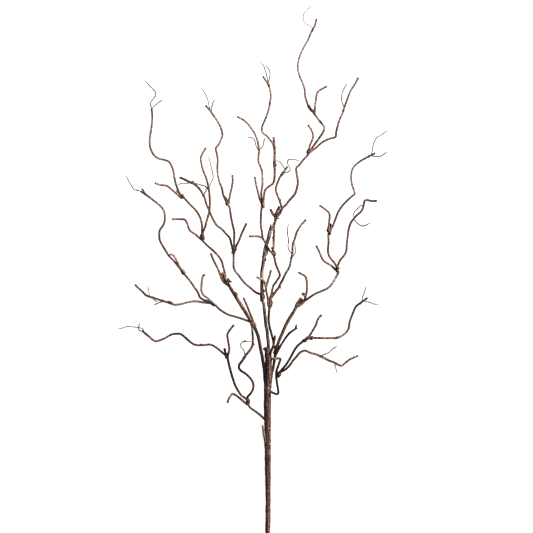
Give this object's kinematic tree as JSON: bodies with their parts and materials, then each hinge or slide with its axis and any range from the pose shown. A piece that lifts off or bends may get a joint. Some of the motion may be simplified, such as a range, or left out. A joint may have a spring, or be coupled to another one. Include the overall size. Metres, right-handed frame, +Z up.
{
  "type": "artificial curly willow branch",
  "caption": "Faux curly willow spray lying flat: one taped stem and three boughs carry forked, crooked wrapped-wire twigs with hair-thin wisps.",
  "frame": {"origin": "on the surface the branch lies on, under the middle of its bounding box", "axes": "+Y along the branch from the cut butt to the tips, +X to the right as seen from above with the butt towards the viewer, +Z up off the surface"},
  "size_m": [0.4874, 0.957, 0.1889],
  "materials": {
    "bark": "matte reddish-brown paper wound on wire, darker in its folds and near black at the cut tips",
    "tape": "dark brown crepe binding tape wound in rough overlapping turns, matte with a faint waxy sheen",
    "wire": "plain drawn steel wire, cut off square"
  },
  "bodies": {
    "root": {"main_stem": "tape", "stem_wire": "wire", "left_bough": "tape", "centre_bough": "tape", "right_bough": "tape", "lower_left": "bark", "lower_left_tip": "bark", "left_side": "bark", "left_side_tip": "bark", "left_top": "bark", "left_top_tip": "bark", "middle_left": "bark", "middle_left_tip": "bark", "centre_low": "bark", "centre_right": "bark", "centre_left": "bark", "centre_top": "bark", "high_right": "bark", "high_top": "bark", "right_side": "bark", "right_side_tip": "bark", "lower_right": "bark", "lower_right_tip": "bark"}
  },
  "joints": []
}
